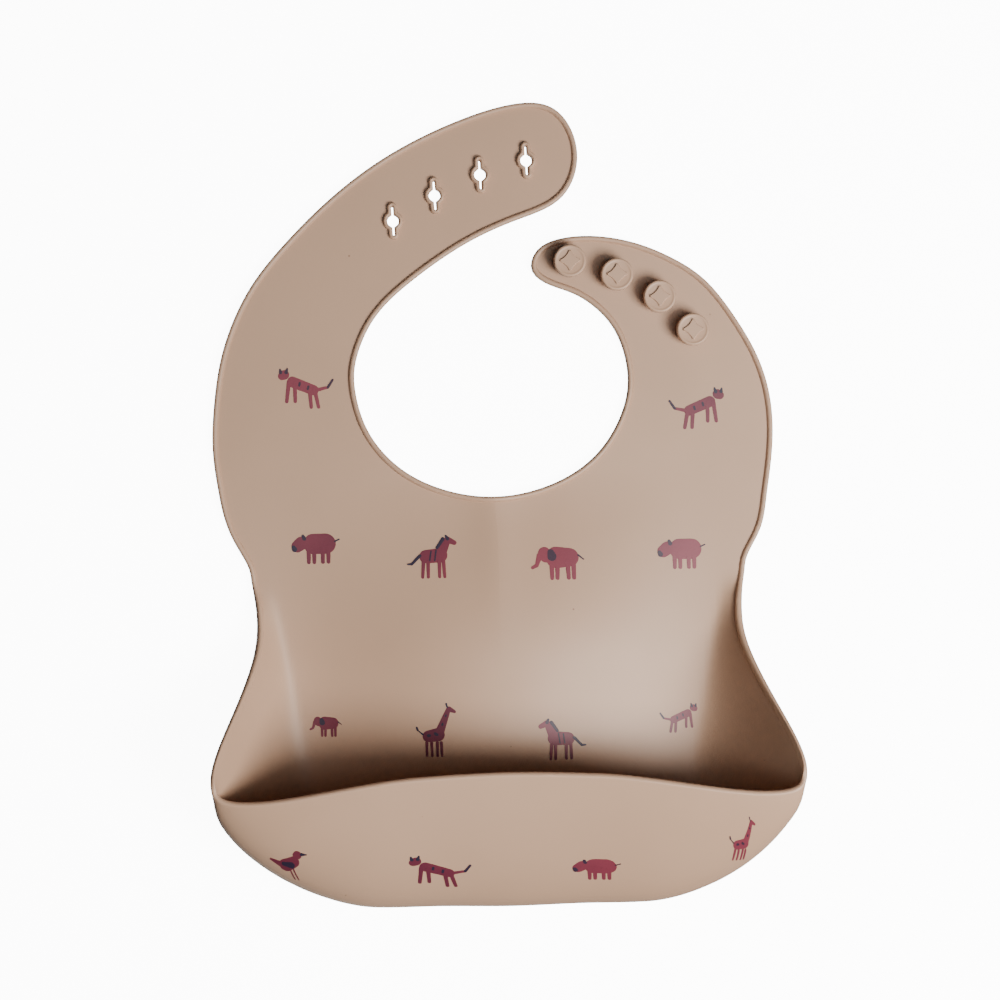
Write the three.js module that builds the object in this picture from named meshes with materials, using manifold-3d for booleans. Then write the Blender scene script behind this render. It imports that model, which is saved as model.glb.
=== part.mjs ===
// A moulded silicone bib with a catch pocket, lying on its back.
// Millimetres. +Z is up, away from the wearer; +Y runs from the pocket to the neck straps.
// The origin is under the middle of the bib, on the flat face that it lies on.
import * as THREE from 'three';
import Module from 'manifold-3d';
import { mergeVertices } from 'three/addons/utils/BufferGeometryUtils.js';
import { ParametricGeometry } from 'three/addons/geometries/ParametricGeometry.js';

const wasm = await Module();
wasm.setup();

// ---------------------------------------------------------------- driving dimensions
const SHEET = 2.0; // thickness of the panel, straps and pocket walls
const RIM = 1.5; // radius of the rounded rim along every free edge
const GAP = 0.3; // clearance between neighbouring zones
const HINGE_Z = RIM; // height of the flex lines
const BARREL = RIM - 0.06; // radius of the roll that a zone ends in at a flex line
const CENTRE_Y = 1.6; // middle of the bib's length, in the drawing's own Y

const STUD = {
  stem: 2.6,
  head: 6.3,
  foot: SHEET + GAP,
  headFloor: 5.6,
  headTop: 9.2,
  star: 4.1,
  starRise: 0.5,
};
const BUTTONHOLE = {
  hole: { radius: 2.45, halfWidth: 0.5, reach: 5.8 },
  collar: { radius: 4.0, halfWidth: 2.1, reach: 7.4 },
  top: 3.2,
  lean: 2.6, // degrees that the slits lean towards the shoulder
};

// Flex lines: a middle point, the direction towards the zone that moves, and a half length.
const FLEX = {
  panelFoldLower: { at: [0, -14], towards: 90, half: 112 },
  panelFoldUpper: { at: [0, -2], towards: 90, half: 114 },
  longRoot: { at: [-76, 22], towards: 90, half: 40 },
  longMiddle: { at: [-61.5, 92.5], towards: 52, half: 26 },
  longTip: { at: [-11.5, 127.3], towards: 24.6, half: 27 },
  shortRoot: { at: [76, 22], towards: 90, half: 40 },
  shortTip: { at: [80, 49], towards: 90, half: 32 },
};

// ---------------------------------------------------------------- outline of the flat sheet
// The right edge from the top of the pocket gusset to the shoulder; the left one mirrors it.
const SIDE = [
  [97.3, -22],
  [103.3, -10.5],
  [108, 5],
  [110.4, 24],
  [109.6, 42],
];
// From the left shoulder round the tip of the long strap.
const LONG_OUTER = [
  [-106.6, 60],
  [-100.8, 76.5],
  [-92, 91.8],
  [-78.6, 107.3],
  [-62.4, 122.6],
  [-41.1, 138.1],
  [-13, 151.8],
];
const LONG_END = [
  [14, 159],
  [28.5, 155.5],
  [36, 139],
  [29.5, 121.5],
];
const LONG_INNER = [
  [12.5, 113.2],
  [-8, 104.4],
  [-29.5, 90.4],
  [-45.7, 75],
  [-53, 59],
];
// The right half of the neck edge, from its lowest point; the left half mirrors it.
const NECK = [
  [0, 4],
  [16, 6.2],
  [31, 12.4],
  [42.5, 21.8],
  [50.4, 34.4],
  [53.8, 49],
];
const SHORT_INNER = [
  [50.8, 65],
  [45.4, 73.8],
  [36, 81.2],
  [22, 87.4],
];
const SHORT_END = [
  [15.2, 94.5],
  [21, 103.2],
  [31, 108.4],
];
const SHORT_OUTER = [
  [42, 108.4],
  [58, 103.2],
  [73.3, 96],
  [85, 87.2],
  [96.8, 72.6],
  [105, 57.6],
];

// ---------------------------------------------------------------- pocket wall
// Stations from the middle of the front wall to the waist, on the right half: the base line
// where the wall leaves the panel, how far it runs on level, the belly and the rim.
const WALL = [
  { base: [0, -141], reach: 29, belly: [0, -157, 24], rim: [0, -99, 50] },
  { base: [30, -141], reach: 28, belly: [31, -156.5, 24], rim: [30, -100, 50] },
  { base: [56, -140.5], reach: 27, belly: [70, -156, 27], rim: [60, -103.5, 50] },
  { base: [66, -134], reach: 27, belly: [97, -147, 31], rim: [84, -107, 49.5] },
  { base: [71, -124], reach: 27, belly: [113, -133, 35], rim: [99, -108, 49] },
  { base: [73.5, -112], reach: 24, belly: [114, -118, 37], rim: [107, -106, 48.5] },
  { base: [75, -101], reach: 17, belly: [105, -103, 35], rim: [110, -100, 47] },
  { base: [77, -88], reach: 13, belly: [102, -89, 29], rim: [108.2, -88, 40.5] },
  { base: [80, -74], reach: 9, belly: [98.5, -74.5, 20.5], rim: [103, -74, 29.5] },
  { base: [82.5, -60], reach: 6, belly: [94, -60, 11], rim: [97.4, -60, 17.5] },
  { base: [84.5, -46], reach: 4, belly: [91.5, -46.5, 4], rim: [94.8, -47, 7.5] },
  { base: [86.5, -34], reach: 3, belly: [91.5, -34, 1.2], rim: [95.3, -34, 2.5] },
  { base: [89.3, -23.2], reach: 2, belly: [93.5, -23.2, 0.2], rim: [96.8, -23.2, 0.6] },
];
const WALL_STEPS = 38; // steps along the whole wall
const WALL_ROWS = 7; // steps from the base to the rim
const RIM_ROWS = 4; // steps round the rim
const FRONT_HALF = 56; // half width of the part of the front wall that can be pressed in
const GUSSET_Y = -100; // where a gusset meets its pocket corner

// ---------------------------------------------------------------- solids
const merged = (geometry) => {
  const bare = geometry.clone();
  bare.deleteAttribute('normal');
  bare.deleteAttribute('uv');
  return mergeVertices(bare, 1e-4);
};

const solidOf = (geometry) => {
  const mesh = merged(geometry);
  const vertProperties = new Float32Array(mesh.attributes.position.array);
  const triVerts = new Uint32Array(mesh.index.array);
  return new wasm.Manifold(new wasm.Mesh({ numProp: 3, vertProperties, triVerts }));
};

const geometryOf = (solid) => {
  const mesh = solid.getMesh();
  const geometry = new THREE.BufferGeometry();
  geometry.setAttribute('position', new THREE.BufferAttribute(mesh.vertProperties, 3));
  geometry.setIndex(new THREE.BufferAttribute(mesh.triVerts, 1));
  return geometry;
};

const prism = (shape, floor, top, curveSegments = 8) => {
  const settings = { depth: top - floor, bevelEnabled: false, curveSegments };
  return new THREE.ExtrudeGeometry(shape, settings).translate(0, 0, floor);
};

const block = ([x0, x1], [y0, y1], [z0, z1]) => {
  const box = new THREE.BoxGeometry(x1 - x0, y1 - y0, z1 - z0);
  box.translate((x0 + x1) / 2, (y0 + y1) / 2, (z0 + z1) / 2);
  return solidOf(box);
};

const mirrored = (points) => points.map(([x, y]) => [-x, y]);
const vectors = (points) => points.map(([x, y]) => new THREE.Vector3(x, y, 0));

// ---------------------------------------------------------------- the flat sheet
const rimControls = [
  ...mirrored(SIDE),
  ...LONG_OUTER,
  ...LONG_END,
  ...LONG_INNER,
  ...mirrored(NECK).slice(1).reverse(),
  ...NECK,
  ...SHORT_INNER,
  ...SHORT_END,
  ...SHORT_OUTER,
  ...SIDE.slice().reverse(),
];

// The rim's centre line lies one rim radius inside the edge.
const edgeCurve = new THREE.CatmullRomCurve3(vectors(rimControls), false, 'centripetal');
const RIM_STEPS = 126;
const rimLine = edgeCurve.getSpacedPoints(RIM_STEPS).map((point, i) => {
  const tangent = edgeCurve.getTangentAt(i / RIM_STEPS);
  const inward = new THREE.Vector3(tangent.y, -tangent.x, 0);
  return point.clone().addScaledVector(inward, RIM);
});

const rimSolid = () => {
  const section = new THREE.Shape();
  section.absarc(0, 0, RIM, 0, 2 * Math.PI);
  const path = new THREE.CatmullRomCurve3(rimLine, false, 'catmullrom', 0);
  const settings = { steps: RIM_STEPS, extrudePath: path, curveSegments: 3, bevelEnabled: false };
  return solidOf(new THREE.ExtrudeGeometry(section, settings)).translate([0, 0, RIM]);
};

// The wall's four control lines, from the left gusset's top round to the right one's.
const wallCurves = (() => {
  const half = WALL.map(({ base: [x, y], reach, belly, rim }, i) => {
    const before = WALL[Math.max(i - 1, 0)].base;
    const after = WALL[Math.min(i + 1, WALL.length - 1)].base;
    const along = new THREE.Vector2(after[0] - before[0], after[1] - before[1]).normalize();
    const start = new THREE.Vector3(x, y, 0);
    const level = new THREE.Vector3(x + along.y * reach, y - along.x * reach, 0);
    return [start, level, new THREE.Vector3(...belly), new THREE.Vector3(...rim)];
  });
  const flip = ({ x, y, z }) => new THREE.Vector3(-x, y, z);
  const left = half.slice(1).reverse().map((row) => row.map(flip));
  const rows = [...left, ...half];
  return [0, 1, 2, 3].map((k) => {
    return new THREE.CatmullRomCurve3(rows.map((row) => row[k]), false, 'centripetal');
  });
})();

// The plate stops a gap short of the line where the pocket wall begins.
const baseLine = Array.from({ length: WALL_STEPS + 1 }, (_, i) => {
  const u = i / WALL_STEPS;
  const point = wallCurves[0].getPoint(u);
  const tangent = wallCurves[0].getTangent(u);
  return [point.x - GAP * tangent.y, point.y + GAP * tangent.x];
});

const sheetSolid = () => {
  const plate = new THREE.Shape();
  rimLine.forEach(({ x, y }, i) => (i ? plate.lineTo(x, y) : plate.moveTo(x, y)));
  const top = SIDE[0][1];
  plate.lineTo(baseLine.at(-1)[0], top);
  baseLine.slice().reverse().forEach(([x, y]) => plate.lineTo(x, y));
  plate.lineTo(baseLine[0][0], top);
  return solidOf(prism(plate, 0, SHEET)).add(rimSolid());
};

// ---------------------------------------------------------------- fasteners
// Where the straps' centre lines put the fasteners, from the shoulder towards the tip.
const BUTTONHOLE_AT = [
  [-37.3, 113.5],
  [-20.7, 123.2],
  [-2.6, 131],
  [15.7, 136.2],
];
const STUD_AT = [
  [79, 67.7],
  [66.3, 80.9],
  [49.8, 89.9],
  [31.5, 95.6],
];

// A circle with an arm above and below it: the arms let it stretch over a stud's head.
const keyhole = (path, { radius, halfWidth, reach }, grow = 0) => {
  const round = radius + grow;
  const arm = halfWidth + grow;
  const end = reach - halfWidth;
  const corner = Math.asin(arm / round);
  path.absarc(0, 0, round, corner - Math.PI / 2, Math.PI / 2 - corner);
  path.absarc(0, end, arm, 0, Math.PI);
  path.absarc(0, 0, round, Math.PI / 2 + corner, 1.5 * Math.PI - corner);
  path.absarc(0, -end, arm, Math.PI, 2 * Math.PI);
  path.closePath();
  return path;
};

const leaning = (geometry, [x, y]) => {
  return solidOf(geometry.rotateZ(THREE.MathUtils.degToRad(BUTTONHOLE.lean)).translate(x, y, 0));
};

const buttonhole = (at) => {
  const shape = keyhole(new THREE.Shape(), BUTTONHOLE.collar);
  shape.holes.push(keyhole(new THREE.Path(), BUTTONHOLE.hole));
  return leaning(prism(shape, 0, BUTTONHOLE.top, 3), at);
};

const buttonholeCut = (at) => {
  const shape = keyhole(new THREE.Shape(), BUTTONHOLE.collar, GAP);
  return leaning(prism(shape, -1, 4 * RIM, 3), at);
};

// The raised star on a stud's head: four points with hollow sides between them.
const starShape = () => {
  const shape = new THREE.Shape();
  const reach = STUD.star;
  const hollow = 0.3 * reach;
  shape.moveTo(reach, 0);
  for (let i = 1; i <= 4; i += 1) {
    const tip = (i * Math.PI) / 2;
    const side = tip - Math.PI / 4;
    shape.quadraticCurveTo(
      hollow * Math.cos(side),
      hollow * Math.sin(side),
      reach * Math.cos(tip),
      reach * Math.sin(tip),
    );
  }
  return shape;
};

const stud = ([x, y]) => {
  const { stem, head, foot, headFloor, headTop, star, starRise } = STUD;
  const soft = 0.9;
  const profile = [
    [0, foot],
    [stem + 0.6, foot],
    [stem, foot + 0.6],
    [stem, headFloor - 0.4],
    [stem + 0.8, headFloor],
    [head - soft, headFloor],
    [head, headFloor + soft],
    [head, headTop - soft],
    [head - soft, headTop],
    [0, headTop],
  ].map(([r, z]) => new THREE.Vector2(r, z));
  const body = new THREE.LatheGeometry(profile, 18).rotateX(Math.PI / 2);
  const badge = prism(starShape(), headTop - GAP, headTop + starRise, 3);
  return solidOf(body).add(solidOf(badge)).translate([x, y, 0]);
};

// ---------------------------------------------------------------- flex lines
const flexFrame = ({ at: [x, y], towards }) => {
  const turn = THREE.MathUtils.degToRad(towards);
  return new THREE.Matrix4().makeRotationZ(turn).setPosition(x, y, HINGE_Z);
};

// A cylinder along the flex line; local X points at the moving zone and local Y along the line.
const rollOn = (flex, radius, half) => {
  const roll = new THREE.CylinderGeometry(radius, radius, 2 * half, 12);
  return solidOf(roll.applyMatrix4(flexFrame(flex)));
};

const webOn = (flex, half) => {
  const reach = BARREL + 2 * GAP;
  const web = new THREE.BoxGeometry(reach, 2 * half, 4 * RIM).translate(reach / 2, 0, 0);
  return solidOf(web.applyMatrix4(flexFrame(flex)));
};

const sheet = BUTTONHOLE_AT.map(buttonholeCut).reduce((solid, cut) => solid.subtract(cut), sheetSolid());
const sockets = Object.values(FLEX).map((flex) => rollOn(flex, BARREL + GAP, flex.half));
const zones = sockets.reduce((solid, socket) => solid.subtract(socket), sheet).decompose();

const zoneAt = (x, y) => {
  const probe = block([x - 1, x + 1], [y - 1, y + 1], [0, SHEET]);
  return zones.find((zone) => !zone.intersect(probe).isEmpty());
};

// The sheet's outline as one thick block, which trims the rolls to the width of each zone.
const outlineBlock = (() => {
  const shape = new THREE.Shape();
  edgeCurve.getSpacedPoints(RIM_STEPS).forEach(({ x, y }, i) => {
    return i ? shape.lineTo(x, y) : shape.moveTo(x, y);
  });
  return solidOf(prism(shape, -1, 4 * RIM));
})();

// A moving zone ends in a roll on its flex line's axis, and its neighbour in a socket round it.
const withRoll = (zone, flex) => {
  const roll = rollOn(flex, BARREL, flex.half).intersect(outlineBlock);
  const web = webOn(flex, flex.half).intersect(sheet);
  return zone.add(roll).add(web);
};

// ---------------------------------------------------------------- pocket wall
// Each station's four control points share one parameter, so they stay in step.
const outerWall = (u, v) => {
  const controls = wallCurves.map((curve) => curve.getPoint(u));
  return new THREE.CubicBezierCurve3(...controls).getPoint(v);
};

const wallNormal = (u, v) => {
  const step = 1e-3;
  const u0 = Math.max(u - step, 0);
  const u1 = Math.min(u + step, 1);
  const v0 = Math.max(v - step, 0);
  const v1 = Math.min(v + step, 1);
  const along = outerWall(u1, v).sub(outerWall(u0, v));
  const up = outerWall(u, v1).sub(outerWall(u, v0));
  return up.cross(along).normalize();
};

// One trip round the wall's section: up the outside, over the rim, down the inside.
const wallLoop = (u) => {
  const loop = [];
  for (let i = 0; i <= WALL_ROWS; i += 1) {
    loop.push(outerWall(u, i / WALL_ROWS));
  }
  const inward = wallNormal(u, 1);
  const edge = outerWall(u, 1);
  const up = edge.clone().sub(outerWall(u, 0.98)).normalize();
  const centre = edge.clone().addScaledVector(inward, SHEET / 2);
  for (let i = 0; i <= RIM_ROWS; i += 1) {
    const turn = (-0.25 + (1.5 * i) / RIM_ROWS) * Math.PI;
    const point = centre.clone().addScaledVector(inward, -RIM * Math.cos(turn));
    loop.push(point.addScaledVector(up, RIM * Math.sin(turn)));
  }
  for (let i = WALL_ROWS; i >= 0; i -= 1) {
    const v = i / WALL_ROWS;
    loop.push(outerWall(u, v).addScaledVector(wallNormal(u, v), SHEET));
  }
  return loop;
};

const wall = (() => {
  const loops = [];
  for (let i = 0; i <= WALL_STEPS; i += 1) {
    loops.push(wallLoop(i / WALL_STEPS));
  }
  const count = loops[0].length;
  const middle = (loop) => {
    const sum = loop.reduce((total, point) => total.add(point), new THREE.Vector3());
    return sum.divideScalar(count);
  };
  const rings = [loops[0].map(() => middle(loops[0])), ...loops];
  rings.push(loops[WALL_STEPS].map(() => middle(loops[WALL_STEPS])));
  const stacks = rings.length - 1;
  const surface = (u, v, target) => {
    const ring = rings[Math.round(v * stacks)];
    target.copy(ring[(count - Math.round(u * count)) % count]);
  };
  return solidOf(new ParametricGeometry(surface, count, stacks));
})();

const wallPart = (xs, ys) => wall.intersect(block(xs, ys, [-10, 80]));

// ---------------------------------------------------------------- the bib
const bib = new THREE.Group();
const COLOUR = { silicone: 0xc4ab96 };

const place = (name, solid) => {
  const finish = new THREE.MeshStandardMaterial({ color: COLOUR.silicone, roughness: 0.5 });
  const mesh = new THREE.Mesh(geometryOf(solid), finish);
  mesh.name = name;
  bib.add(mesh);
};

const FAR = 200;
const halfGap = GAP / 2;
const beyondFront = [FRONT_HALF + halfGap, FAR];
const corner = [-FAR, GUSSET_Y - halfGap];
const gusset = [GUSSET_Y + halfGap, 0];

place('panel_lower', zoneAt(0, -60));
place('panel_fold_strip', withRoll(zoneAt(0, -8), FLEX.panelFoldLower));
place('panel_upper', withRoll(zoneAt(80, 10), FLEX.panelFoldUpper));

place('pocket_front', wallPart([-FRONT_HALF + halfGap, FRONT_HALF - halfGap], [-FAR, 0]));
place('pocket_corner_right', wallPart(beyondFront, corner));
place('pocket_corner_left', wallPart(beyondFront.map((x) => -x).reverse(), corner));
place('pocket_gusset_right', wallPart(beyondFront, gusset));
place('pocket_gusset_left', wallPart(beyondFront.map((x) => -x).reverse(), gusset));

place('long_strap_root', withRoll(zoneAt(-80, 60), FLEX.longRoot));
place('long_strap_middle', withRoll(zoneAt(-50, 108), FLEX.longMiddle));
place('long_strap_tip', withRoll(zoneAt(20, 150), FLEX.longTip));
place('short_strap_root', withRoll(zoneAt(80, 36), FLEX.shortRoot));
place('short_strap_tip', withRoll(zoneAt(90, 60), FLEX.shortTip));

BUTTONHOLE_AT.forEach((at, i) => place(`buttonhole_rim_${i + 1}`, buttonhole(at)));
STUD_AT.forEach((at, i) => place(`stud_${i + 1}`, stud(at)));

bib.position.y = -CENTRE_Y;

export default bib;
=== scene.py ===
"""A moulded silicone bib with a catch pocket, lying open on its back. The sheet is drawn flat, cut into
zones, each standing for parts of the frame, and then folded up into the pocket."""
import math

import bmesh
import bpy
import numpy as np
from mathutils import Matrix, Vector


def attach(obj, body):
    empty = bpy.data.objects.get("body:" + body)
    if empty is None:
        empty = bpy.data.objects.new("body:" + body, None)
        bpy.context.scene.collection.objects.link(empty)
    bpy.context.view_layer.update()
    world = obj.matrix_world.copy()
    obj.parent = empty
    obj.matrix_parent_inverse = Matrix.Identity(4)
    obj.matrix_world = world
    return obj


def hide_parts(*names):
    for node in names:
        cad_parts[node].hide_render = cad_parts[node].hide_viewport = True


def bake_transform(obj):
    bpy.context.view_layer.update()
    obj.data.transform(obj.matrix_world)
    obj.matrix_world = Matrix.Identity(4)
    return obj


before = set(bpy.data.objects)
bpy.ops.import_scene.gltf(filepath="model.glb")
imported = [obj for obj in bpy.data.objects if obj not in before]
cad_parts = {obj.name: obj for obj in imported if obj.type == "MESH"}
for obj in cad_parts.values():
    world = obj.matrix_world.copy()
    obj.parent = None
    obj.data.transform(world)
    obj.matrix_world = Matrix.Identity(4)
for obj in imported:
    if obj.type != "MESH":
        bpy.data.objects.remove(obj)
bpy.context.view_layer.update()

# The bib is drawn in millimetres, and spot() turns the drawing's places into metres.
MM = 0.001
CENTRE_Y = 1.6  # middle of the bib's length in the drawing's own Y

SHEET = 2.0  # thickness of the silicone sheet
MESH_STEP = 2.5  # spacing of the sheet's grid
EDGE_STEP = 2.3  # spacing of points along the free edge
CORNER_STEP = 0.9  # the same, round the corners of the pocket floor
GRID_SHIFT = (0.21, 0.17)  # keeps the grid's cuts off the outline's own points
GRID_SPAN = ((-175, 175), (-232, 160))
NAP = 0.05  # how far the printed ink stands off the sheet
LAYER_RISE = 0.004  # each limb of an animal lies this much over the one before
NAVY_RISE = 0.03  # and the navy ink this much over the plum
PRINT_ROOT = 0.08  # how deep the ink is set into the sheet
SHARP = math.radians(50)  # an edge that turns more than this stays crisp
ARCH = 11.0  # rise of the middle of the pocket floor
SLOUCH = (0.9, 2.4)  # how far the soft panel, and the pocket's belly, lie off to the right
CREASE = 1.6  # rise of the crease below the neck
SWAY = 0.1  # the slight unevenness of a soft sheet that lies on a table

# ------------------------------------------------------------------ the flat sheet's free edge
SIDE = [(98.2, -22), (104.1, -10.5), (108, 5), (110.4, 24), (109.6, 42)]
LONG_STRAP = [
    (-106.6, 60), (-100.8, 76.5), (-92, 91.8), (-78.6, 107.3), (-62.4, 122.6), (-41.1, 138.1),
    (-13, 151.8), (14, 159), (28.5, 155.5), (36, 139), (29.5, 121.5), (12.5, 113.2),
    (-8, 104.4), (-29.5, 90.4), (-45.7, 75), (-53, 59),
]
HALF_NECK = [(16, 6.2), (31, 12.4), (42.5, 21.8), (50.4, 34.4), (53.8, 49)]
NECK_LOW = (0, 4)
SHORT_STRAP = [
    (50.3, 66), (43.4, 76), (33.4, 83.2), (22.9, 87.4), (16.9, 93), (18.2, 99.6), (24.5, 104.2),
    (39.4, 106.1), (58, 102.9), (73.3, 96.2), (85.5, 87.4), (96.8, 72.6), (105, 57.6),
]
# Rounded bead on the front of the edge and small round on its back: (in from the edge, height).
FRONT_BEAD = [
    (0, 1.6), (0.12, 2.4), (0.45, 3.0), (1.0, 3.2), (1.6, 3.1), (2.0, 2.75), (2.2, 2.3), (2.4, 1.95),
]
BACK_ROUND = [(0, 1.0), (0.3, 0.35), (0.8, 0.02), (1.2, 0.0)]

# ------------------------------------------------------------------ the pocket wall
FRONT_HALF = 49.3  # half length of the straight front of the pocket floor
FLOOR_Y = -141.0
CORNER = 22.0  # radius of the pocket floor's corners
GUSSET_LEAN = math.radians(10.4)  # the floor widens upwards by this angle
WALL_END = 181.3  # along the floor's edge, from the middle of the front to the waist
LIE_DOWN = 165.0  # from here on the wall settles into the flat sheet
PLAIN_LIP = (118, 165)  # the lip has no bead before the first of these, and all of it past the second
# Stations along the floor's edge: how far the wall runs on level, its belly and its lip.
WALL = [
    (0, 29, (0, -158, 24), (0, -99, 50)),
    (30, 28, (31, -157.5, 24), (30, -100, 50)),
    (56, 27, (70, -156, 27), (60, -103.5, 50)),
    (67.8, 27, (97, -147, 31), (86, -107.5, 49.5)),
    (78.9, 27, (113, -133, 35), (102, -108, 49)),
    (91.1, 24, (114, -118, 37), (109.5, -105, 48.5)),
    (102.2, 17, (105, -103, 35), (111.5, -99, 47)),
    (115.4, 13, (102, -89, 29), (108.9, -88, 40.5)),
    (129.7, 9, (98.5, -74.5, 20.5), (103, -74, 29.5)),
    (143.9, 6, (94, -60, 11), (97.8, -60, 17.5)),
    (158, 4, (91.5, -46.5, 4), (95.6, -47, 7.5)),
    (170.2, 3, (91.5, -34, 1.2), (96.2, -34, 2.5)),
    (181.3, 2.8, (94.9, -24.2, 0), (97.7, -24.7, 0)),
]

# ------------------------------------------------------------------ studs, buttonholes, zones
STUDS = [(79, 67.7), (66.3, 80.9), (49.8, 89.9), (31.5, 95.6)]
STUD_LIFT = 0.2  # the sheet's rise off the table under the studs
# Half section of a stud: (radius, height), from its foot in the sheet up to the dished head.
STUD_PROFILE = [
    (0, 1.7), (4.4, 1.7), (4.3, 2.1), (3.4, 2.3), (2.8, 2.9), (2.6, 3.8), (2.6, 4.8), (3.0, 5.4),
    (5.4, 5.6), (6.05, 5.75), (6.3, 6.2), (6.35, 7.2), (6.35, 8.35), (6.22, 8.85), (5.95, 9.12),
    (5.6, 9.2), (5.25, 9.12), (5.0, 8.98), (4.8, 8.95), (0, 8.95),
]
STAR_POINT = 5.1  # reach of the star's points before they are blunted
STAR_WAIST = 0.21  # how far out the middle of a hollow side stands, against the points
STAR_HEIGHTS = (8.9, 9.4)
STAR_ROUND = [(0, 9.2), (0.1, 9.4), (0.2, 9.45), (0.26, 9.45)]
BUTTONHOLES = [(-37.3, 113.5), (-20.7, 123.2), (-2.6, 131), (15.7, 136.2)]
COLLAR = {"radius": 4.0, "arm": 2.1, "reach": 7.4, "lean": math.radians(2.6)}
# Round ridge of the collar: (in from its outline, height), out to the slot's wall.
COLLAR_RIDGE = [
    (0, 1.2), (0.05, 2.3), (0.2, 3.0), (0.5, 3.4), (0.9, 3.55), (1.3, 3.4), (1.6, 2.9), (1.75, 2.0),
]
SLOT_INSET = 1.8
COLLAR_FOOT = 0.1
COLLAR_LIFT = 0.25  # the sheet's rise off the table under the collars

FOLD_Y = (-8.0, 12.0)  # the cuts below and above the fold strip
FRONT_CUT = 56.0  # the pressed part of the pocket front ends here on both sides
SHORT_CUT = 34.5
LONG_CUTS = [((-80, 60), (0.259, 0.966)), ((-29, 118.5), (0.86, 0.51))]  # a point, and across the cut


def spot(x, y, z=0.0):
    """A place of the drawing as a point of the frame, in metres."""
    return Vector((x, y - CENTRE_Y, z)) * MM


# ------------------------------------------------------------------ curves
def spline(knots, values):
    """A natural cubic spline through rows of values, as a function of the knot."""
    knots, values = np.array(knots, float), np.array(values, float)
    gaps = np.diff(knots)
    weights, pull = np.eye(len(knots)), np.zeros_like(values)
    for i in range(1, len(knots) - 1):
        before, after = gaps[i - 1], gaps[i]
        weights[i, i - 1:i + 2] = before, 2 * (before + after), after
        rise = (values[i + 1] - values[i]) / after - (values[i] - values[i - 1]) / before
        pull[i] = 6 * rise
    bends = np.linalg.solve(weights, pull)

    def at(s):
        i = np.clip(np.searchsorted(knots, s) - 1, 0, len(gaps) - 1)
        gap = gaps[i][:, None]
        u = ((s - knots[i]) / gaps[i])[:, None]
        v = 1 - u
        sag = ((v**3 - v) * bends[i] + (u**3 - u) * bends[i + 1]) * gap**2 / 6
        return v * values[i] + u * values[i + 1] + sag

    return at


def smooth_line(points, step, skip=0):
    """Evenly spaced points on a smooth curve; the first and last skip points only steer it."""
    points = np.array(points, float)
    knots = np.concatenate([[0], np.cumsum(np.hypot(*np.diff(points, axis=0).T) ** 0.5)])
    fine = np.linspace(knots[skip], knots[len(points) - 1 - skip], 4000)
    curve = spline(knots, points)(fine)
    run = np.concatenate([[0], np.cumsum(np.hypot(*np.diff(curve, axis=0).T))])
    marks = np.linspace(0, run[-1], int(run[-1] / step) + 1)
    return np.stack([np.interp(marks, run, curve[:, k]) for k in (0, 1)], axis=1)


def ease(low, high, value):
    """Goes smoothly from 0 at the low value to 1 at the high one."""
    t = np.clip((value - low) / (high - low), 0, 1)
    return t * t * (3 - 2 * t)


# ------------------------------------------------------------------ the floor's edge
CORNER_TURN = math.pi / 2 - GUSSET_LEAN
CORNER_END = FRONT_HALF + CORNER * CORNER_TURN
GUSSET_OUT = np.array([math.cos(GUSSET_LEAN), -math.sin(GUSSET_LEAN)])
GUSSET_UP = np.array([math.sin(GUSSET_LEAN), math.cos(GUSSET_LEAN)])
CORNER_AT = np.array([FRONT_HALF, FLOOR_Y + CORNER])
GUSSET_FOOT = CORNER_AT + CORNER * GUSSET_OUT


def floor_edge(s):
    """Point on the right half of the floor's edge, and the direction straight out of it."""
    turn = np.clip((s - FRONT_HALF) / CORNER, 0, CORNER_TURN)
    out = np.stack([np.sin(turn), -np.cos(turn)], axis=1)
    point = CORNER_AT + CORNER * out
    point[:, 0] += np.minimum(s - FRONT_HALF, 0)
    return point + np.maximum(s - CORNER_END, 0)[:, None] * GUSSET_UP, out


def from_edge(flat):
    """For places of the right half: how far along the floor's edge, and how far out of it."""
    arm = flat - CORNER_AT
    turn = np.arctan2(arm[:, 0], -arm[:, 1])
    front = (arm[:, 0] < 0) & (arm[:, 1] < 0)
    gusset = ~front & ((turn > CORNER_TURN) | (turn < 0))
    along = (flat - GUSSET_FOOT) @ GUSSET_UP
    s = np.where(front, flat[:, 0], np.where(gusset, CORNER_END + along, FRONT_HALF + CORNER * turn))
    out = np.where(front, FLOOR_Y - flat[:, 1], np.hypot(*arm.T) - CORNER)
    return s, np.where(gusset, (flat - GUSSET_FOOT) @ GUSSET_OUT, out)


def mirrored_stations():
    """The stations of both halves, so that the wall runs smoothly through the middle of the front."""
    rows = [(s, reach, *belly, *lip) for s, reach, belly, lip in WALL]
    left = [(-s, reach, -bx, by, bz, -lx, ly, lz) for s, reach, bx, by, bz, lx, ly, lz in rows[:0:-1]]
    return np.array(left + rows, float)


STATIONS = mirrored_stations()
WALL_SHAPE = spline(STATIONS[:, 0], STATIONS[:, 1:])


def wall_bars(s):
    """The four control points of the wall's section at each place along the edge."""
    start, out = floor_edge(s)
    shape = WALL_SHAPE(s)
    level = np.zeros((len(s), 1))
    foot = np.hstack([start, level])
    return foot, np.hstack([start + shape[:, :1] * out, level]), shape[:, 1:4], shape[:, 4:7]


def bezier(bars, t):
    """Points on cubic curves, one curve and one t to a row."""
    t = t[:, None]
    u = 1 - t
    a, b, c, d = bars
    return u**3 * a + 3 * u * u * t * b + 3 * u * t * t * c + t**3 * d


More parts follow.
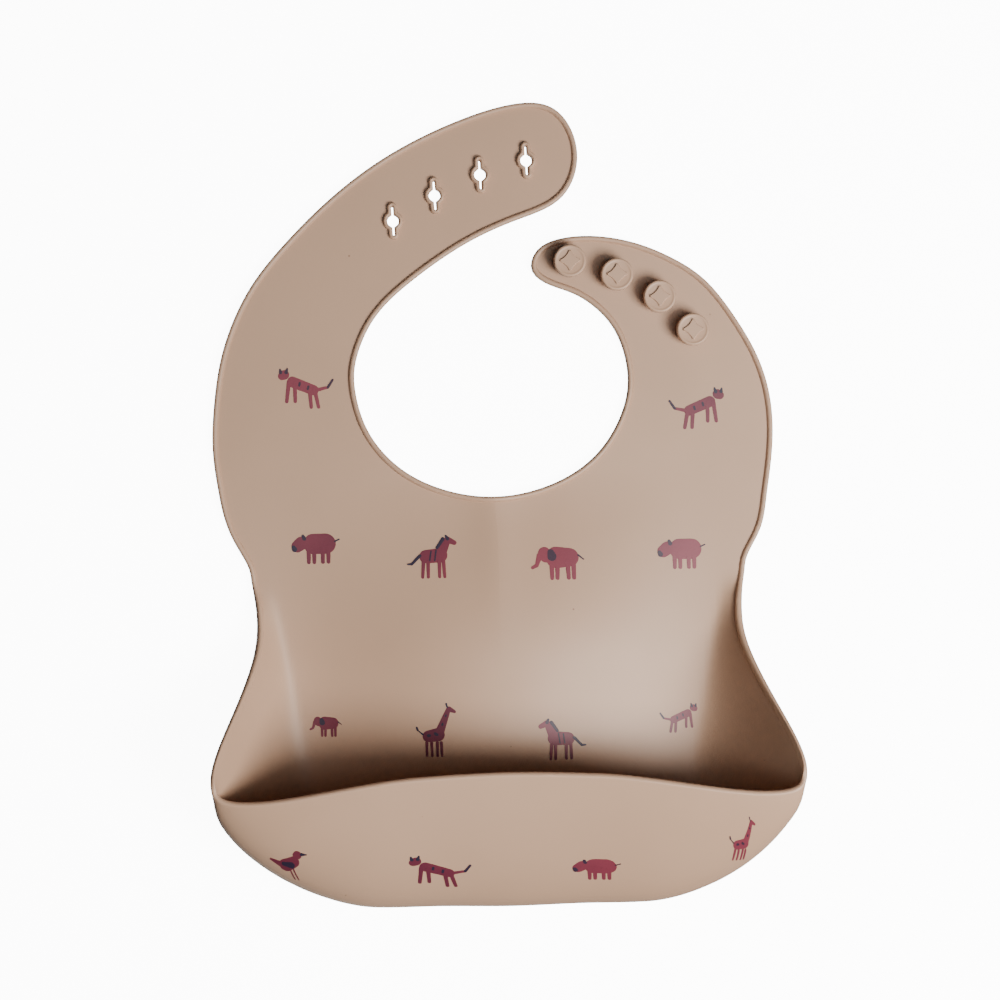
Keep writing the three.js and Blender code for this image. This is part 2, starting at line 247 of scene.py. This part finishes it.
def wall_runs(bars, steps=40):
    """How far along the section each of its even steps lies."""
    count = len(bars[0])
    marks = [bezier(bars, np.full(count, k / steps)) for k in range(steps + 1)]
    lengths = [np.linalg.norm(b - a, axis=1) for a, b in zip(marks, marks[1:])]
    return np.vstack([np.zeros(count), np.cumsum(lengths, axis=0)])


def wall_height(s):
    """Length of the wall's section at each place along the edge."""
    return wall_runs(wall_bars(s))[-1]


def walled(s, out):
    """The wall's outer face at these places of the right half."""
    bars = wall_bars(s)
    runs = wall_runs(bars)
    steps = len(runs) - 1
    k = np.clip((runs < out).sum(axis=0) - 1, 0, steps - 1)
    pick = np.arange(len(s))
    low, high = runs[k, pick], runs[k + 1, pick]
    return bezier(bars, (k + (out - low) / (high - low)) / steps)


def lift(x, y):
    """How far the resting sheet rises off the table: an arch over the pocket floor, a crease
    running down from the neck, and a slight sway."""
    beside = np.clip(x / (93.5 + 0.184 * y), -1, 1)
    arch = ARCH * (1 - beside**2) ** 2 * ease(-141, -85, y) * (1 - ease(-60, 14, y))
    crease = CREASE * np.exp(-np.abs(x / 9) ** 1.6) * ease(-66, 2, y) * (1 - ease(6, 24, y))
    sway = SWAY * (2 + np.sin(x / 29 + 0.8) * np.cos(y / 41) + np.sin((x + 1.7 * y) / 47))
    return arch + crease + sway


def back_face(flat):
    """Where the back of the sheet goes when the flat sheet is folded up into a bib."""
    side = np.where(flat[:, 0] < 0, -1.0, 1.0)
    right = np.stack([flat[:, 0] * side, flat[:, 1]], axis=1)
    place = np.hstack([right, np.zeros((len(flat), 1))])
    s, out = from_edge(right)
    raised = (out > 1e-6) & (s < WALL_END) & (flat[:, 1] < 0)
    settled = ease(LIE_DOWN, WALL_END, s[raised])[:, None]
    place[raised] += (1 - settled) * (walled(s[raised], out[raised]) - place[raised])
    place[:, 0] *= side
    flatness = 1 - ease(0, 12, out) * (1 - ease(LIE_DOWN, WALL_END, s)) * (flat[:, 1] < 0)
    place[:, 2] += lift(*flat.T) * flatness
    y = place[:, 1]
    place[:, 0] += SLOUCH[0] * (1 - ease(-15, 5, y)) + SLOUCH[1] * (1 - ease(-160, -118, y))
    return place


def folded(flat, height):
    """The sheet at these heights above its back face, after folding."""
    nudge = np.eye(2) * 0.05
    up = np.cross(*(back_face(flat + d) - back_face(flat - d) for d in nudge))
    up /= np.linalg.norm(up, axis=1)[:, None]
    s, out = from_edge(np.stack([np.abs(flat[:, 0]), flat[:, 1]], axis=1))
    plain = (1 - ease(*PLAIN_LIP, s)) * ease(0, 4, out)
    height = np.where(height > SHEET, SHEET + (height - SHEET) * (1 - plain), height)
    return back_face(flat) + up * height[:, None]


# ------------------------------------------------------------------ mesh helpers
def cut(bm, x, y, nx, ny, faces=None):
    """A straight upright cut through the sheet, along the line that (nx, ny) is square to."""
    parts = bm.verts[:] + bm.edges[:] + bm.faces[:]
    if faces:
        parts = list({p for f in faces for p in (f, *f.edges, *f.verts)})
    bmesh.ops.bisect_plane(bm, geom=parts, dist=1e-4, plane_co=(x, y, 0), plane_no=(nx, ny, 0))


def rounded(bm, face, profile):
    """Steps a flat face inwards along a profile of (inset, height)."""
    for (d0, h0), (d1, h1) in zip(profile, profile[1:]):
        outwards = 1 if (h1 > h0) == (face.normal.z > 0) else -1
        bmesh.ops.inset_region(bm, faces=[face], thickness=d1 - d0, depth=abs(h1 - h0) * outwards,
                               use_even_offset=True, use_boundary=True)
        bm.normal_update()


def plate(bm, outline, low, high, material=0):
    """Adds a flat plate over an outline, and gives its top and bottom face."""
    bottom = bm.faces.new([bm.verts.new((x, y, low)) for x, y in outline])
    bottom.material_index = material
    grown = bmesh.ops.extrude_face_region(bm, geom=[bottom], use_keep_orig=True)["geom"]
    top = next(g for g in grown if isinstance(g, bmesh.types.BMFace))
    bmesh.ops.translate(bm, verts=top.verts[:], vec=(0, 0, high - low))
    bmesh.ops.recalc_face_normals(bm, faces=bm.faces[:])
    return top, bottom


def fold_up(bm):
    """Moves a mesh from the flat drawing to its place on the folded bib."""
    co = np.array([v.co for v in bm.verts])
    for v, place in zip(bm.verts, folded(co[:, :2], co[:, 2])):
        v.co = spot(*place)


def as_object(name, bm, *materials):
    """Makes an object of a mesh, smooth but for its crisp edges, and uses the mesh up."""
    mesh = bpy.data.meshes.new(name)
    for f in bm.faces:
        f.smooth = True
    for e in bm.edges:
        if e.calc_face_angle(0) > SHARP:
            e.smooth = False
    bm.to_mesh(mesh)
    bm.free()
    for material in materials:
        mesh.materials.append(material)
    obj = bpy.data.objects.new(name, mesh)
    bpy.context.scene.collection.objects.link(obj)
    return obj


# ------------------------------------------------------------------ the whole sheet, flat
def free_edge():
    """The outline of the flat sheet, with the pocket wall laid out flat round the floor."""
    front = np.arange(0, FRONT_HALF, EDGE_STEP)
    corner = np.arange(FRONT_HALF, CORNER_END, CORNER_STEP)
    gusset = np.arange(CORNER_END, WALL_END - 2, EDGE_STEP)
    s = np.concatenate([front, corner, gusset])
    start, out = floor_edge(s)
    wall = start + wall_height(s)[:, None] * out
    mirror = np.array([-1, 1])
    left_end, right_end = wall[-3:] * mirror, wall[-3:][::-1]
    side = np.array(SIDE)
    neck = [(-x, y) for x, y in HALF_NECK[::-1]] + [NECK_LOW] + HALF_NECK
    route = np.vstack([left_end, side * mirror, LONG_STRAP, neck, SHORT_STRAP, side[::-1], right_end])
    rim = smooth_line(route, EDGE_STEP, skip=2)
    return np.vstack([rim[:-1], wall[::-1], (wall * mirror)[1:-1]])


def flat_sheet():
    """The whole bib as one closed flat sheet, with its bead and its rounded back edge."""
    bm = bmesh.new()
    top, bottom = plate(bm, free_edge(), BACK_ROUND[0][1], FRONT_BEAD[0][1])
    rounded(bm, top, FRONT_BEAD)
    rounded(bm, bottom, BACK_ROUND)
    return bm


def grid_cuts(bm):
    """Cuts a flat mesh into small squares, so that it can follow the folds."""
    (left, right), (low, high) = GRID_SPAN
    for x in np.arange(left, right, MESH_STEP):
        cut(bm, x + GRID_SHIFT[0], 0, 1, 0)
    for y in np.arange(low, high, MESH_STEP):
        cut(bm, 0, y + GRID_SHIFT[1], 0, 1)


ZONE_LINES = [(0, y, 0, 1) for y in (*FOLD_Y, SHORT_CUT, FLOOR_Y)] + [
    (x, 0, 1, 0) for x in (-FRONT_CUT, 0, FRONT_CUT)]


def side_of(line, x, y):
    """Signed distance of a place from a cut's line."""
    (cx, cy), (nx, ny) = line
    return (x - cx) * nx + (y - cy) * ny


def zone_of(x, y):
    """Name of the zone that a place of the flat sheet belongs to."""
    if y < FLOOR_Y and abs(x) < FRONT_CUT:
        return "pocket_front_left" if x < 0 else "pocket_front_right"
    if y < FOLD_Y[0]:
        return "panel_with_pocket_sides"
    if y < FOLD_Y[1]:
        return "panel_fold"
    if x > 0 and y < 104 + 0.25 * x:
        return "short_strap_shoulder" if y < SHORT_CUT else "short_strap_end"
    if side_of(LONG_CUTS[0], x, y) < 0:
        return "long_strap_shoulder"
    return "long_strap_middle" if side_of(LONG_CUTS[1], x, y) < 0 else "long_strap_end"


def zone_cuts(bm):
    """Cuts a flat mesh along every line between two zones."""
    for line in ZONE_LINES:
        cut(bm, *line)
    for (x, y), (nx, ny) in LONG_CUTS:
        strap = [f for f in bm.faces if zone_of(*f.calc_center_median().xy).startswith("long_strap")]
        cut(bm, x, y, nx, ny, strap)


def share(bm, zone):
    """A copy of what a flat mesh has in one zone, with the cuts closed."""
    part = bm.copy()
    others = [f for f in part.faces if zone_of(*f.calc_center_median().xy) != zone]
    bmesh.ops.delete(part, geom=others, context="FACES")
    if not part.faces:
        return None
    part.normal_update()
    open_edges = [e for e in part.edges if e.is_boundary]
    for x in (-FRONT_CUT, 0, FRONT_CUT):
        ends = [v for v in {v for e in open_edges for v in e.verts}
                if abs(v.co.x - x) < 1e-3 and abs(v.co.y - FLOOR_Y) < 1e-3]
        if len(ends) == 2 and (zone.startswith("pocket") or x):
            part.edges.new(ends)
    lines = [((x, y), (nx, ny)) for x, y, nx, ny in ZONE_LINES] + LONG_CUTS
    for line in lines:
        loop = [e for e in part.edges if (e.is_boundary or e.is_wire)
                and all(abs(side_of(line, *v.co.xy)) < 2e-3 for v in e.verts)]
        if loop:
            caps = bmesh.ops.edgeloop_fill(part, edges=loop)["faces"]
            bmesh.ops.recalc_face_normals(part, faces=part.faces[:])
            for e in {e for f in caps for e in f.edges}:
                e.smooth = False
            bmesh.ops.triangulate(part, faces=caps)
    return part


# ------------------------------------------------------------------ finishes
def node(tree, kind, x, y, **settings):
    """Adds a shader node; a setting is one of its own or the value of one of its inputs."""
    made = tree.nodes.new(kind)
    made.location = (x, y)
    for key, value in settings.items():
        if hasattr(made, key):
            setattr(made, key, value)
        else:
            made.inputs[key.replace("_", " ")].default_value = value
    return made


def moulded_surface():
    """Shader group: slow clouding of the colour, tiny pits, and a fine matt grain."""
    tree = bpy.data.node_groups.new("moulded_surface", "ShaderNodeTree")
    face = tree.interface
    for name, kind in (("Tint", "Color"), ("Cloud Tint", "Color"), ("Clouding", "Float"),
                       ("Grain", "Float"), ("Pits", "Float")):
        face.new_socket(name=name, in_out="INPUT", socket_type="NodeSocket" + kind)
    for name, kind in (("Colour", "Color"), ("Roughness", "Float"), ("Height", "Float")):
        face.new_socket(name=name, in_out="OUTPUT", socket_type="NodeSocket" + kind)
    link = tree.links.new
    given = node(tree, "NodeGroupInput", -1100, 0)
    place = node(tree, "ShaderNodeTexCoord", -1300, -300).outputs["Object"]
    cloud = node(tree, "ShaderNodeTexNoise", -1100, -200, Scale=16.0, Detail=3.0)
    grain = node(tree, "ShaderNodeTexNoise", -1100, -450, Scale=1500.0, Detail=3.0, Roughness=0.6)
    pits = node(tree, "ShaderNodeTexVoronoi", -1100, -700, Scale=55.0)
    for pattern in (cloud, grain, pits):
        link(place, pattern.inputs["Vector"])
    patch = node(tree, "ShaderNodeMapRange", -850, -200, interpolation_type="SMOOTHSTEP")
    patch.inputs["From Min"].default_value = 0.35
    patch.inputs["From Max"].default_value = 0.68
    link(cloud.outputs["Fac"], patch.inputs["Value"])
    amount = node(tree, "ShaderNodeMath", -650, -150, operation="MULTIPLY")
    link(patch.outputs["Result"], amount.inputs[0])
    link(given.outputs["Clouding"], amount.inputs[1])
    clouded = node(tree, "ShaderNodeMix", -450, 0, data_type="RGBA")
    link(amount.outputs[0], clouded.inputs["Factor"])
    link(given.outputs["Tint"], clouded.inputs[6])
    link(given.outputs["Cloud Tint"], clouded.inputs[7])
    pit = node(tree, "ShaderNodeMapRange", -850, -700)
    pit.inputs["From Min"].default_value = 0.012
    pit.inputs["From Max"].default_value = 0.028
    pit.inputs["To Min"].default_value = 1.0
    pit.inputs["To Max"].default_value = 0.0
    link(pits.outputs["Distance"], pit.inputs["Value"])
    pitted = node(tree, "ShaderNodeMath", -650, -650, operation="MULTIPLY")
    link(pit.outputs["Result"], pitted.inputs[0])
    link(given.outputs["Pits"], pitted.inputs[1])
    specked = node(tree, "ShaderNodeMix", -200, 0, data_type="RGBA", blend_type="MULTIPLY")
    link(pitted.outputs[0], specked.inputs["Factor"])
    link(clouded.outputs[2], specked.inputs[6])
    specked.inputs[7].default_value = (0.25, 0.18, 0.14, 1)
    rough = node(tree, "ShaderNodeMapRange", -450, -300)
    rough.inputs["To Min"].default_value = 0.44
    rough.inputs["To Max"].default_value = 0.56
    link(cloud.outputs["Fac"], rough.inputs["Value"])
    relief = node(tree, "ShaderNodeMath", -450, -500, operation="MULTIPLY")
    link(grain.outputs["Fac"], relief.inputs[0])
    link(given.outputs["Grain"], relief.inputs[1])
    sunk = node(tree, "ShaderNodeMath", -250, -500, operation="SUBTRACT")
    link(relief.outputs[0], sunk.inputs[0])
    link(pitted.outputs[0], sunk.inputs[1])
    put = node(tree, "NodeGroupOutput", 50, 0)
    link(specked.outputs[2], put.inputs["Colour"])
    link(rough.outputs["Result"], put.inputs["Roughness"])
    link(sunk.outputs[0], put.inputs["Height"])
    return tree


SURFACE = moulded_surface()


def finish(name, tint, cloud_tint, clouding, grain, pits, **constants):
    """A material with the moulded surface; constants go straight to the shader's own sockets."""
    material = bpy.data.materials.new(name)
    material.use_nodes = True
    tree = material.node_tree
    shader = tree.nodes["Principled BSDF"]
    for socket, value in constants.items():
        shader.inputs[socket.replace("_", " ")].default_value = value
    surface = node(tree, "ShaderNodeGroup", -500, 100, node_tree=SURFACE)
    surface.inputs["Tint"].default_value = (*tint, 1)
    surface.inputs["Cloud Tint"].default_value = (*cloud_tint, 1)
    surface.inputs["Clouding"].default_value = clouding
    surface.inputs["Grain"].default_value = grain
    surface.inputs["Pits"].default_value = pits
    bump = node(tree, "ShaderNodeBump", -250, -200, Strength=0.35, Distance=0.00006)
    tree.links.new(surface.outputs["Colour"], shader.inputs["Base Color"])
    tree.links.new(surface.outputs["Roughness"], shader.inputs["Roughness"])
    tree.links.new(surface.outputs["Height"], bump.inputs["Height"])
    tree.links.new(bump.outputs["Normal"], shader.inputs["Normal"])
    return material


SILICONE = finish("clay_pink_silicone", (0.465, 0.292, 0.192), (0.425, 0.264, 0.17), 0.5, 0.5, 0.6,
                  Sheen_Weight=0.08, Sheen_Roughness=0.4)
PLUM_INK = finish("plum_ink", (0.1, 0.014, 0.03), (0.2, 0.032, 0.05), 0.9, 1.0, 0.0)
NAVY_INK = finish("navy_ink", (0.016, 0.012, 0.03), (0.05, 0.015, 0.03), 0.6, 1.0, 0.0)

# ------------------------------------------------------------------ the sheet, zone by zone
# Each zone: the two bodies it bends between, where the bend starts and ends, the parts it stands for.
ZONES = {
    "panel_with_pocket_sides": (
        ("lower_panel", "fold_strip"), (0, -20), (0, -8),
        ("panel_lower", "pocket_corner_left", "pocket_corner_right", "pocket_gusset_left",
         "pocket_gusset_right"),
    ),
    "pocket_front_left": (("lower_panel", "pocket_front"), (-56, -150), (-15, -150), ("pocket_front",)),
    "pocket_front_right": (("lower_panel", "pocket_front"), (56, -150), (15, -150), ("pocket_front",)),
    "panel_fold": (("fold_strip", "upper_panel"), (0, -8), (0, 4), ("panel_fold_strip", "panel_upper")),
    "long_strap_shoulder": (
        ("upper_panel", "long_strap_root"), (-76, 12), (-76, 32), ("long_strap_root",)),
    "long_strap_middle": (
        ("long_strap_root", "long_strap_middle"), (-68.9, 83), (-54.1, 102), ("long_strap_middle",)),
    "long_strap_end": (
        ("long_strap_middle", "long_strap_tip"), (-17, 124.8), (-6, 129.8), ("long_strap_tip",)),
    "short_strap_shoulder": (
        ("upper_panel", "short_strap_root"), (76, 12), (76, 32), ("short_strap_root",)),
    "short_strap_end": (
        ("short_strap_root", "short_strap_tip"), (80, 40), (80, 58), ("short_strap_tip",)),
}


def bend(obj):
    """Bakes the piece's placement into its mesh."""
    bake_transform(obj)


def keyhole(x, y, grow=0.0):
    """Outline of a buttonhole's collar: a circle with an arm above and one below."""
    arm, reach, radius = COLLAR["arm"] + grow, COLLAR["reach"] - COLLAR["arm"], COLLAR["radius"] + grow
    corner = math.asin(arm / radius)
    arcs = [
        (0, radius, corner - math.pi / 2, math.pi / 2 - corner), (reach, arm, 0.12, math.pi - 0.12),
        (0, radius, math.pi / 2 + corner, 1.5 * math.pi - corner),
        (-reach, arm, math.pi + 0.12, 2 * math.pi - 0.12),
    ]
    points = [(r * math.cos(a), up + r * math.sin(a)) for up, r, first, last in arcs
              for a in np.linspace(first, last, 18)]
    lean = Matrix.Rotation(COLLAR["lean"], 2)
    return [tuple(lean @ Vector(p) + Vector((x, y))) for p in points]


def cut_buttonholes(obj, places):
    """Opens the sheet under each collar, a little inside the collar's outline."""
    for x, y in places:
        bm = bmesh.new()
        plate(bm, keyhole(x, y, -0.05), -3, 6)
        for v in bm.verts:
            v.co = spot(*v.co)
        cutter = as_object("buttonhole_cutter", bm)
        hole = obj.modifiers.new("buttonhole", "BOOLEAN")
        hole.object = cutter
        hole.solver = "EXACT"
        shaped = obj.evaluated_get(bpy.context.evaluated_depsgraph_get())
        mesh = bpy.data.meshes.new_from_object(shaped)
        obj.modifiers.clear()
        obj.data = mesh
        bpy.data.objects.remove(cutter)
    bm = bmesh.new()
    bm.from_mesh(obj.data)
    for e in bm.edges:
        e.smooth = e.calc_face_angle(0) < SHARP
    bm.to_mesh(obj.data)
    bm.free()


sheet = flat_sheet()
grid_cuts(sheet)
zone_cuts(sheet)
for zone, (*_, nodes) in ZONES.items():
    part = share(sheet, zone)
    fold_up(part)
    skin = as_object("bib_" + zone, part, SILICONE)
    if zone == "long_strap_middle":
        cut_buttonholes(skin, BUTTONHOLES[:1])
    if zone == "long_strap_end":
        cut_buttonholes(skin, BUTTONHOLES[1:])
    bend(skin)
    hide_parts(*nodes)
sheet.free()

# ------------------------------------------------------------------ collars and studs
for number, (x, y) in enumerate(BUTTONHOLES, 1):
    ring = bmesh.new()
    top, bottom = plate(ring, keyhole(x, y), COLLAR_FOOT, COLLAR_RIDGE[0][1])
    rounded(ring, top, COLLAR_RIDGE)
    rounded(ring, bottom, [(d, COLLAR_FOOT) for d in (0, 0.2, SLOT_INSET - 0.05)])
    rims = top.edges[:] + bottom.edges[:]
    bmesh.ops.delete(ring, geom=[top, bottom], context="FACES_ONLY")
    bmesh.ops.bridge_loops(ring, edges=rims)
    bmesh.ops.recalc_face_normals(ring, faces=ring.faces[:])
    for v in ring.verts:
        v.co = spot(v.co.x, v.co.y, v.co.z + COLLAR_LIFT)
    collar = as_object(f"buttonhole_collar_{number}", ring, SILICONE)
    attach(collar, "long_strap_middle" if number < 3 else "long_strap_tip")
    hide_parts(f"buttonhole_rim_{number}")


def star_outline(x, y):
    """A four-pointed star with hollow sides and blunt tips."""
    points = []
    for quarter in range(4):
        turn = Matrix.Rotation(quarter * math.pi / 2, 2)
        for t in np.linspace(0.15, 0.85, 12):
            waist = 2 * t * (1 - t) * STAR_WAIST * STAR_POINT
            arm = Vector(((1 - t) ** 2 * STAR_POINT + waist, t * t * STAR_POINT + waist))
            points.append(tuple(turn @ arm + Vector((x, y))))
    return points


for number, (x, y) in enumerate(STUDS, 1):
    body = bmesh.new()
    line = [body.verts.new((x + r, y, z)) for r, z in STUD_PROFILE]
    edges = [body.edges.new(pair) for pair in zip(line, line[1:])]
    bmesh.ops.spin(body, geom=line + edges, cent=(x, y, 0), axis=(0, 0, 1), angle=math.tau,
                   steps=64, use_merge=True)
    bmesh.ops.remove_doubles(body, verts=body.verts[:], dist=1e-3)
    star_top, _ = plate(body, star_outline(x, y), *STAR_HEIGHTS)
    rounded(body, star_top, STAR_ROUND)
    bmesh.ops.recalc_face_normals(body, faces=body.faces[:])
    for v in body.verts:
        v.co = spot(v.co.x, v.co.y, v.co.z + STUD_LIFT)
    stud = as_object(f"star_stud_{number}", body, SILICONE)
    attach(stud, "short_strap_tip")
    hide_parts(f"stud_{number}")

# ------------------------------------------------------------------ printed animals
# Limbs are (from x, y, to x, y, radius at each end, ink), in widths of the whole animal.
PLUM, NAVY = 0, 1


def legs(low, *places, thick=0.045):
    """Straight legs down to the same height; each place is where one starts and how it leans."""
    return [(x, low + 0.3, x + lean, low, thick, thick * 0.8, PLUM) for x, lean in places]


ANIMALS = {
    "elephant": [
        (-0.05, 0.02, 0.2, 0.02, 0.2, 0.17, PLUM), (-0.27, 0.1, -0.24, 0.06, 0.12, 0.13, PLUM),
        (-0.36, 0.06, -0.42, -0.12, 0.055, 0.035, PLUM), (-0.42, -0.12, -0.5, -0.16, 0.035, 0.03, PLUM),
        (-0.15, 0.12, -0.13, 0.04, 0.06, 0.085, NAVY), (0.36, 0.06, 0.46, -0.02, 0.016, 0.012, NAVY),
        *legs(-0.36, (-0.14, 0), (-0.03, -0.01), (0.16, 0.01), (0.27, 0)),
    ],
    "pony": [
        (-0.12, -0.02, 0.16, 0, 0.13, 0.14, PLUM), (0.18, 0.04, 0.3, 0.28, 0.1, 0.065, PLUM),
        (0.31, 0.3, 0.44, 0.24, 0.065, 0.045, PLUM), (0.28, 0.38, 0.31, 0.32, 0.02, 0.035, NAVY),
        (0.1, 0.15, 0.22, 0.32, 0.03, 0.035, NAVY), (-0.24, 0.0, -0.4, -0.16, 0.03, 0.025, NAVY),
        (-0.4, -0.16, -0.48, -0.16, 0.025, 0.015, NAVY), (-0.05, -0.1, -0.02, 0.08, 0.014, 0.014, NAVY),
        (0.05, -0.1, 0.08, 0.1, 0.014, 0.014, NAVY),
        *legs(-0.42, (-0.17, -0.02), (-0.08, 0), (0.14, 0), (0.22, 0.02), thick=0.036),
    ],
    "giraffe": [
        (-0.2, -0.16, 0.02, -0.12, 0.13, 0.15, PLUM), (0.06, -0.06, 0.26, 0.44, 0.1, 0.055, PLUM),
        (0.28, 0.46, 0.4, 0.4, 0.06, 0.035, PLUM), (0.24, 0.5, 0.22, 0.58, 0.016, 0.022, NAVY),
        (-0.32, -0.12, -0.44, -0.02, 0.016, 0.012, NAVY), (-0.44, -0.02, -0.46, 0.04, 0.022, 0.02, NAVY),
        (-0.2, -0.14, -0.17, -0.14, 0.035, 0.03, NAVY), (-0.04, -0.1, 0.0, -0.12, 0.035, 0.03, NAVY),
        (0.12, 0.1, 0.13, 0.13, 0.025, 0.02, NAVY), (0.2, 0.3, 0.21, 0.32, 0.02, 0.016, NAVY),
        *legs(-0.6, (-0.24, 0), (-0.13, 0.01), (0.0, 0), (0.09, 0.01), thick=0.034),
    ],
    "hippo": [
        (-0.04, 0.02, 0.2, 0.02, 0.2, 0.2, PLUM), (-0.28, 0.04, -0.36, -0.02, 0.13, 0.12, PLUM),
        (-0.24, 0.18, -0.22, 0.13, 0.03, 0.04, NAVY), (-0.44, -0.04, -0.42, -0.08, 0.04, 0.05, NAVY),
        (0.38, 0.06, 0.47, 0.1, 0.014, 0.012, NAVY),
        *legs(-0.34, (-0.14, 0), (-0.03, 0), (0.14, 0), (0.25, 0)),
    ],
    "cat": [
        (-0.14, -0.06, 0.2, 0.08, 0.085, 0.09, PLUM), (0.33, 0.2, 0.37, 0.18, 0.08, 0.065, PLUM),
        (0.28, 0.3, 0.3, 0.24, 0.014, 0.03, NAVY), (0.4, 0.29, 0.39, 0.24, 0.014, 0.028, NAVY),
        (-0.2, -0.06, -0.38, -0.02, 0.03, 0.022, PLUM), (-0.38, -0.02, -0.46, 0.1, 0.022, 0.018, NAVY),
        (-0.06, 0.0, -0.05, -0.04, 0.018, 0.018, NAVY), (0.08, 0.06, 0.09, 0.02, 0.018, 0.018, NAVY),
        *legs(-0.34, (-0.16, -0.06), (-0.08, -0.02), thick=0.034),
        *legs(-0.24, (0.16, 0.0), (0.26, 0.04), thick=0.034),
    ],
    "bird": [
        (-0.1, -0.02, 0.12, 0.06, 0.16, 0.13, PLUM), (0.22, 0.2, 0.25, 0.2, 0.1, 0.09, PLUM),
        (0.34, 0.2, 0.46, 0.17, 0.035, 0.01, NAVY), (-0.2, 0.0, -0.46, 0.1, 0.08, 0.03, PLUM),
        (-0.14, 0.02, 0.04, -0.02, 0.05, 0.08, NAVY),
        *legs(-0.42, (-0.02, 0.02), (0.06, 0.02), thick=0.018),
    ],
}
# Where each is printed on the flat sheet: place, width, and 1 or -1 for the way it looks.
FRONT_PRINTS = [
    ("cat", -73.5, 49.1, 24, -1), ("cat", 81.1, 37.7, 24, 1),
    ("hippo", -71.4, -13.4, 20, 1), ("pony", -25.7, -18.8, 20, 1),
    ("elephant", 23.7, -21.1, 21, 1), ("hippo", 72.3, -18.6, 20, 1),
    ("elephant", -68.6, -83.8, 13, 1), ("giraffe", -25.2, -86, 17, 1),
    ("pony", 22.9, -90.3, 19, -1), ("cat", 70, -84.2, 17, 1),
]
# On the outside of the pocket front, which the sheet's back becomes: place, width, way, turn.
POCKET_PRINTS = [
    ("bird", -96, -175, 24, 1, -47), ("cat", -27, -188, 26, -1, 0),
    ("hippo", 32, -188, 19, 1, 0), ("giraffe", 107, -175, 20, 1, 54),
]


def limb_outline(x0, y0, x1, y1, r0, r1):
    """Outline of a tapered limb with round ends."""
    along = math.atan2(y1 - y0, x1 - x0)
    lean = math.acos(max(-1, min(1, (r0 - r1) / max(math.hypot(x1 - x0, y1 - y0), 1e-6))))
    near = [(x0 + r0 * math.cos(a), y0 + r0 * math.sin(a))
            for a in np.linspace(along + lean, along + math.tau - lean, 14)]
    far = [(x1 + r1 * math.cos(a), y1 + r1 * math.sin(a))
           for a in np.linspace(along - lean, along + lean, 14)]
    return near + far


def printed(bm, animal, x, y, width, way, turn=0, outside=False):
    """Adds an animal to the flat print, as thin plates that stand a little out of the sheet."""
    spin = Matrix.Rotation(math.radians(turn), 2)
    for layer, (*shape, ink) in enumerate(ANIMALS[animal]):
        up = -width if outside else width
        outline = [spin @ Vector((px * width * way, py * up)) + Vector((x, y))
                   for px, py in limb_outline(*shape)]
        rise = NAP + LAYER_RISE * layer + NAVY_RISE * ink
        low, high = (-rise, PRINT_ROOT) if outside else (SHEET - PRINT_ROOT, SHEET + rise)
        plate(bm, outline, low, high, ink)


prints = bmesh.new()
for animal in FRONT_PRINTS:
    printed(prints, *animal)
for animal in POCKET_PRINTS:
    printed(prints, *animal, outside=True)
grid_cuts(prints)
zone_cuts(prints)
for zone in ZONES:
    part = share(prints, zone)
    if part:
        fold_up(part)
        bend(as_object("prints_on_" + zone, part, PLUM_INK, NAVY_INK))
prints.free()

# ------------------------------------------------------------------ floor, light, camera, in metres
floor_mesh = bmesh.new()
bmesh.ops.create_grid(floor_mesh, x_segments=1, y_segments=1, size=3.0)
for v in floor_mesh.verts:
    v.co.z = -0.0002
floor_paint = bpy.data.materials.new("white_floor")
floor_paint.use_nodes = True
paint = floor_paint.node_tree.nodes["Principled BSDF"]
paint.inputs["Base Color"].default_value = (0.9, 0.9, 0.9, 1)
paint.inputs["Roughness"].default_value = 0.9
paint.inputs["Emission Color"].default_value = (1, 1, 1, 1)
paint.inputs["Emission Strength"].default_value = 11.0
floor = as_object("floor", floor_mesh, floor_paint)
floor.visible_diffuse = False
floor.visible_glossy = False
floor.visible_shadow = False


def softbox(name, place, aim, size, power, colour):
    """A round studio light that faces a point."""
    light = bpy.data.lights.new(name, "AREA")
    light.shape = "DISK"
    light.size = size
    light.energy = power
    light.color = colour
    obj = bpy.data.objects.new(name, light)
    bpy.context.scene.collection.objects.link(obj)
    obj.location = place
    obj.rotation_euler = (Vector(aim) - Vector(place)).to_track_quat("-Z", "Y").to_euler()


softbox("key_light", (0.52, -0.32, 0.72), (0.02, -0.02, 0), 0.46, 16, (1.0, 0.98, 0.95))
softbox("top_light", (0.3, -0.2, 1.2), (0, 0, 0), 0.6, 4, (0.97, 0.98, 1.0))
softbox("table_bounce", (-0.05, 0, -0.5), (0, 0, 0), 1.2, 4, (1.0, 0.99, 0.97))
world = bpy.data.worlds.new("studio")
world.use_nodes = True
world.node_tree.nodes["Background"].inputs["Color"].default_value = (0.95, 0.97, 1.0, 1)
world.node_tree.nodes["Background"].inputs["Strength"].default_value = 0.06
bpy.context.scene.world = world

camera = bpy.data.cameras.new("overhead_camera")
camera.lens = 72.9
camera.sensor_width = 36
camera.shift_x = 0.11
camera.clip_start = 0.01
camera_stand = bpy.data.objects.new("overhead_camera", camera)
bpy.context.scene.collection.objects.link(camera_stand)
camera_stand.location = (-0.04094, 0.00209, 0.8)
camera_stand.rotation_euler = (0, 0, math.radians(-1.3))
bpy.context.scene.camera = camera_stand
